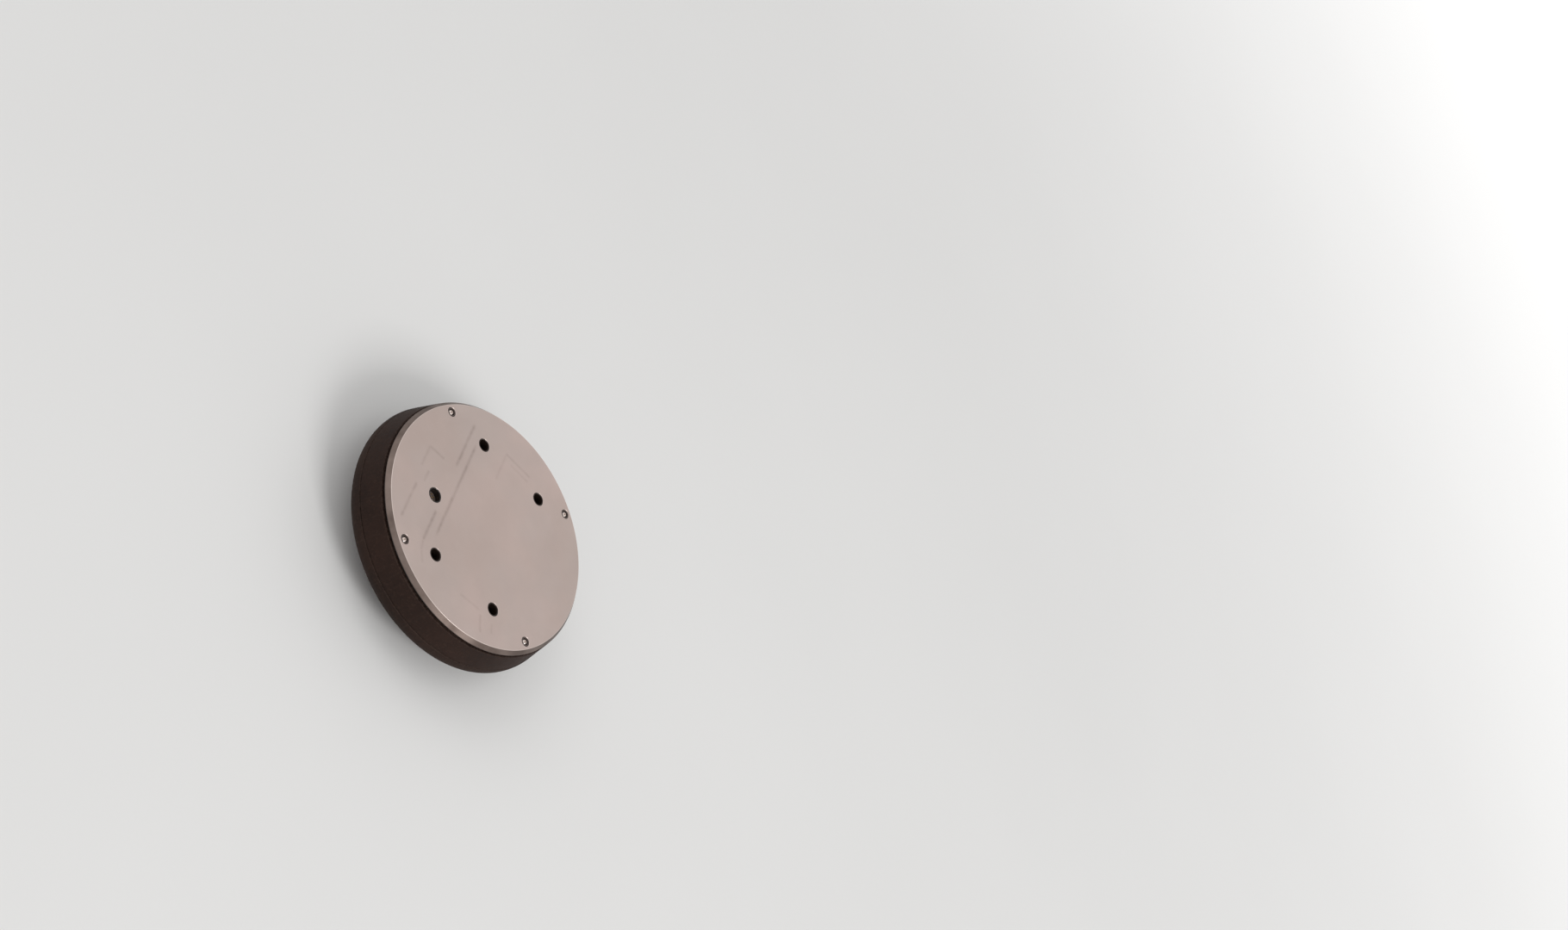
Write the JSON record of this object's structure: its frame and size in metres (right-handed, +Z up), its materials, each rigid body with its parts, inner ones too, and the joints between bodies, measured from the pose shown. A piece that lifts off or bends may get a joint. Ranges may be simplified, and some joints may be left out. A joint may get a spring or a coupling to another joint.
{
  "type": "space capsule",
  "caption": "Small blunt re-entry capsule with a dark ablative shell and a screwed-down metal aft cover plate that carries adapter holes and an umbilical port.",
  "frame": {"origin": "point on the floor under the middle of the capsule, at the tip of the heat shield's nose", "axes": "+Z up along the capsule's own axis, from the nose to the aft face; +X along the short side of the adapter hole rectangle, +Y along its long side"},
  "size_m": [0.4, 0.4, 0.113],
  "materials": {
    "satin_plate": "satin machined, warm grey",
    "black_anodised": "black anodised, matt",
    "charred_ablator": "dark brown resin ablator, matt",
    "machined_aluminium": "bare machined",
    "equipment_paint": "plain grey paint",
    "grey_insulator": "moulded, matt",
    "stainless": "turned",
    "black_elastomer": "moulded elastomer, matt",
    "dark_insulator": "moulded, matt"
  },
  "bodies": {
    "root": {"aft_cover_plate": "satin_plate", "closure_ring": "black_anodised", "seam_seal": "black_elastomer", "flank_ablator": "charred_ablator", "heat_shield": "charred_ablator", "carrier_pan": "machined_aluminium", "equipment_block": "equipment_paint", "umbilical_shell": "black_anodised", "umbilical_insert": "grey_insulator", "adapter_sleeve_1": "black_anodised", "adapter_sleeve_2": "black_anodised", "adapter_sleeve_3": "black_anodised", "adapter_sleeve_4": "black_anodised", "rim_screw_1": "stainless", "rim_washer_1": "dark_insulator", "rim_screw_2": "stainless", "rim_washer_2": "dark_insulator", "rim_screw_3": "stainless", "rim_washer_3": "dark_insulator", "rim_screw_4": "stainless", "rim_washer_4": "dark_insulator"}
  },
  "joints": []
}
